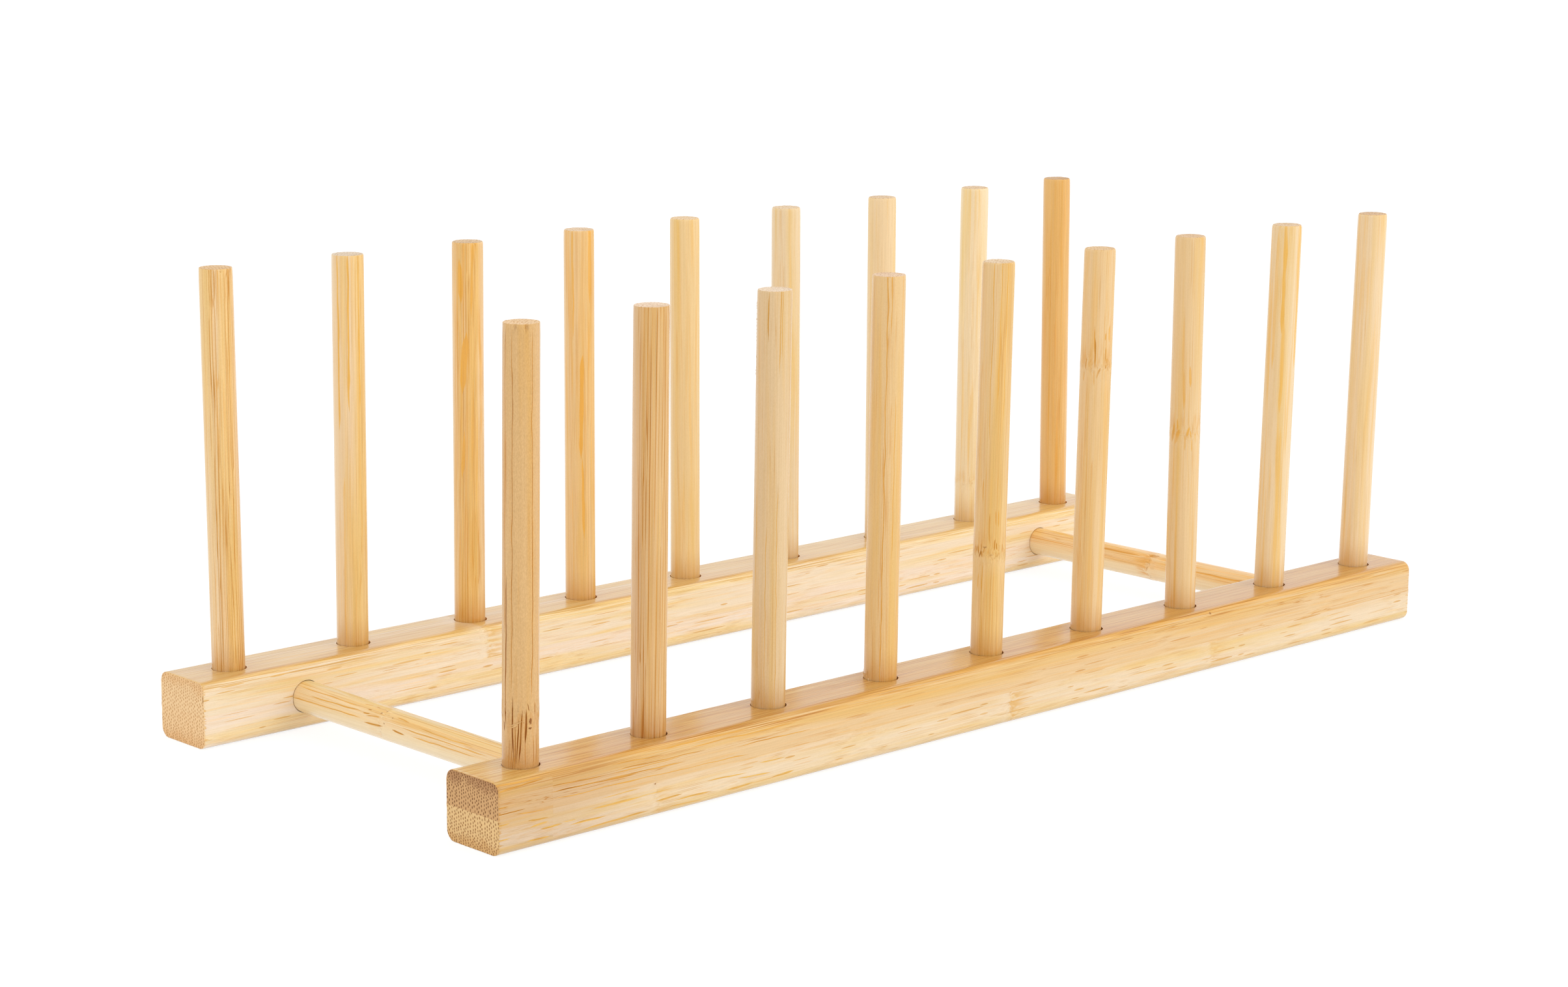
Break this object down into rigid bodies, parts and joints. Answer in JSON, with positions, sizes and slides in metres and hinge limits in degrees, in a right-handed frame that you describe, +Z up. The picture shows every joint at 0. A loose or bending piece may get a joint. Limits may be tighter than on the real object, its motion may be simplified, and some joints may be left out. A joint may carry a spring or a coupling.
{
  "type": "plate stand",
  "caption": "Low bamboo stand that holds plates, saucers and pot lids on edge between pairs of upright round posts, set in laminated rails joined by round cross bars.",
  "frame": {"origin": "on the resting plane, under the middle of the stand", "axes": "+X along the rails, -Y towards the front row of posts, +Z up along the posts"},
  "size_m": [0.332, 0.1344, 0.1175],
  "materials": {
    "rail_bamboo": "laminated bamboo under a clear satin lacquer",
    "post_bamboo": "turned bamboo dowel under a clear satin lacquer",
    "cross_bar_bamboo": "turned bamboo dowel under a clear satin lacquer"
  },
  "bodies": {
    "root": {"front_rail_upper_strip": "rail_bamboo", "front_rail_lower_strip": "rail_bamboo", "back_rail_upper_strip": "rail_bamboo", "back_rail_lower_strip": "rail_bamboo", "front_post_1": "post_bamboo", "front_post_2": "post_bamboo", "front_post_3": "post_bamboo", "front_post_4": "post_bamboo", "front_post_5": "post_bamboo", "front_post_6": "post_bamboo", "front_post_7": "post_bamboo", "front_post_8": "post_bamboo", "front_post_9": "post_bamboo", "back_post_1": "post_bamboo", "back_post_2": "post_bamboo", "back_post_3": "post_bamboo", "back_post_4": "post_bamboo", "back_post_5": "post_bamboo", "back_post_6": "post_bamboo", "back_post_7": "post_bamboo", "back_post_8": "post_bamboo", "back_post_9": "post_bamboo", "left_cross_bar": "cross_bar_bamboo", "right_cross_bar": "cross_bar_bamboo"}
  },
  "joints": []
}
